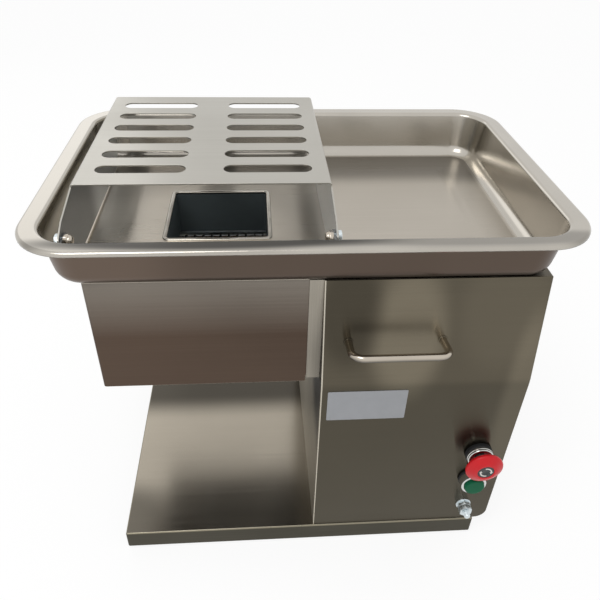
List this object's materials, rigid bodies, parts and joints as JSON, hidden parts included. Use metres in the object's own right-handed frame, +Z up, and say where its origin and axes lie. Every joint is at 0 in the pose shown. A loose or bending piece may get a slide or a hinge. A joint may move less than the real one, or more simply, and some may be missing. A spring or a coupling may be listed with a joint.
{
  "type": "meat slicer",
  "caption": "Counter-top meat slicer: loading tray with a hinged slotted guard over a feed opening, paired round blades in an open hood, and a drive housing with stop and start buttons.",
  "frame": {"origin": "on the ground under the middle of the base pan, in the plane of the feet", "axes": "+X to the right along the tray's long side, the front with the controls faces -Y, +Z up"},
  "size_m": [0.485, 0.349, 0.429],
  "materials": {
    "brushed": "horizontally brushed stainless sheet",
    "tray_steel": "bright drawn stainless sheet, polished rim",
    "guard_steel": "satin stainless sheet",
    "guide_steel": "satin stainless strip",
    "blade_steel": "ground blade steel",
    "plain_steel": "machined steel",
    "polished": "polished stainless steel",
    "chrome": "bright chrome plate",
    "zinc": "bright zinc plate",
    "cast_iron": "machined cast iron",
    "bronze": "plain bearing bronze",
    "motor_paint": "satin machine paint",
    "rubber": "moulded black rubber",
    "black_plastic": "moulded black nylon",
    "dark_plastic_nut": "moulded dark plastic",
    "switch_plastic": "moulded light grey plastic",
    "red_plastic": "gloss red moulding",
    "green_plastic": "gloss green moulding",
    "label": "plain silver-grey film"
  },
  "bodies": {
    "housing": {"base_pan": "brushed", "rubber_feet": "rubber", "housing_wrap": "brushed", "front_panel": "brushed", "top_plate": "brushed", "rear_cover": "brushed", "rear_cover_screws": "zinc", "housing_bolts": "zinc", "carry_handle": "polished", "handle_washers": "polished", "handle_nuts": "zinc", "rating_plate": "label", "earth_stud": "zinc", "earth_washer": "zinc", "earth_nuts": "zinc", "cable_gland": "black_plastic", "gland_nut": "black_plastic", "button_gaskets": "black_plastic", "button_nuts": "dark_plastic_nut", "contact_blocks": "switch_plastic", "estop_collar": "chrome", "start_bezel": "chrome", "gear_plate": "plain_steel", "plate_standoffs": "zinc", "bearing_flanges": "cast_iron", "shaft_bearings": "chrome", "shaft_seals": "rubber", "motor": "motor_paint", "gearbox": "cast_iron", "run_capacitor": "switch_plastic", "contactor": "black_plastic", "cassette_left_plate": "brushed", "cassette_right_plate": "brushed", "cassette_studs": "zinc", "cassette_knobs": "black_plastic", "cassette_bushes": "bronze", "front_comb": "brushed", "rear_comb": "brushed", "hood_guides": "guide_steel"},
    "tray": {"tray": "tray_steel", "feed_throat": "polished", "guard_brackets": "plain_steel", "guard_bolts": "zinc", "guard_nuts": "polished"},
    "guard": {"guard": "guard_steel"},
    "hood": {"hood": "brushed"},
    "estop_plunger": {"estop_stem": "dark_plastic_nut"},
    "estop_knob": {"estop_head": "red_plastic"},
    "start": {"start_button": "green_plastic"},
    "front_rotor": {"front_shaft": "polished", "front_blades": "blade_steel", "front_spacers": "plain_steel", "front_gear": "plain_steel", "front_shaft_nut": "zinc"},
    "rear_rotor": {"rear_shaft": "polished", "rear_blades": "blade_steel", "rear_spacers": "plain_steel", "rear_gear": "plain_steel", "rear_shaft_nut": "zinc"},
    "pinion": {"drive_pinion": "plain_steel"}
  },
  "joints": [
    {"name": "tray_lift", "type": "slide", "parent": "housing", "child": "tray", "axis": [0, 0, 1], "range_m": [0, 0.09]},
    {"name": "guard_hinge", "type": "hinge", "parent": "tray", "child": "guard", "pos_m": [0, -0.1315, 0.404], "axis": [1, 0, 0], "range_deg": [0, 95]},
    {"name": "hood_slide", "type": "slide", "parent": "housing", "child": "hood", "axis": [-1, 0, 0], "range_m": [0, 0.215]},
    {"name": "estop_press", "type": "slide", "parent": "housing", "child": "estop_plunger", "axis": [0, 1, 0], "range_m": [0, 0.004], "stiffness_N_per_m": 800},
    {"name": "estop_twist", "type": "hinge", "parent": "estop_plunger", "child": "estop_knob", "pos_m": [0.187, -0.153, 0.146], "axis": [0, 1, 0], "range_deg": [0, 45], "stiffness_Nm_per_rad": 0.05},
    {"name": "start_press", "type": "slide", "parent": "housing", "child": "start", "axis": [0, 1, 0], "range_m": [0, 0.003], "stiffness_N_per_m": 600},
    {"name": "front_spin", "type": "hinge", "parent": "housing", "child": "front_rotor", "pos_m": [0, -0.053, 0.282], "axis": [1, 0, 0], "continuous": true},
    {"name": "rear_spin", "type": "hinge", "parent": "housing", "child": "rear_rotor", "pos_m": [0, 0.013, 0.282], "axis": [1, 0, 0], "continuous": true},
    {"name": "pinion_spin", "type": "hinge", "parent": "housing", "child": "pinion", "pos_m": [0, 0.013, 0.232], "axis": [1, 0, 0], "continuous": true}
  ],
  "couplings": [
    {"joint": "rear_spin", "follows": "front_spin", "ratio": -1},
    {"joint": "pinion_spin", "follows": "front_spin", "ratio": 1.9412}
  ]
}
